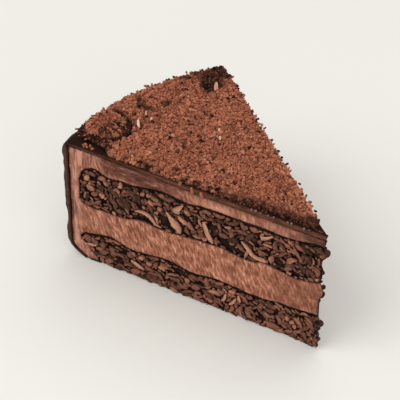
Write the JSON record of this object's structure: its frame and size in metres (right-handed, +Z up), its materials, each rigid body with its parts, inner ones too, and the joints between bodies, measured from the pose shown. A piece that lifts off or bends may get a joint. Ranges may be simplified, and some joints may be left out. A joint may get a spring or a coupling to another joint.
{
  "type": "slice of chocolate cake",
  "caption": "Wedge of a round chocolate layer cake: dark sponge layers in pale mousse, under a dark glaze and a blanket of cocoa crumbs.",
  "frame": {"origin": "on the flat base of the lower sponge, on the slice's middle line, halfway between the rim and the tip", "axes": "+Z up, +X from the rim towards the tip along the slice's middle line, so that the cut face seen from the front looks to -Y"},
  "size_m": [0.1149, 0.0842, 0.0633],
  "materials": {
    "sponge": "dark chocolate sponge, open and crumbly, matte",
    "mousse": "light chocolate mousse, finely aerated, soft sheen",
    "glaze": "dark chocolate glaze, half glossy",
    "crumbs": "dry cocoa crumbs, matte"
  },
  "bodies": {
    "root": {"sponge_lower": "sponge", "sponge_upper": "sponge", "mousse": "mousse", "glaze": "glaze", "crumb_topping": "crumbs"}
  },
  "joints": []
}
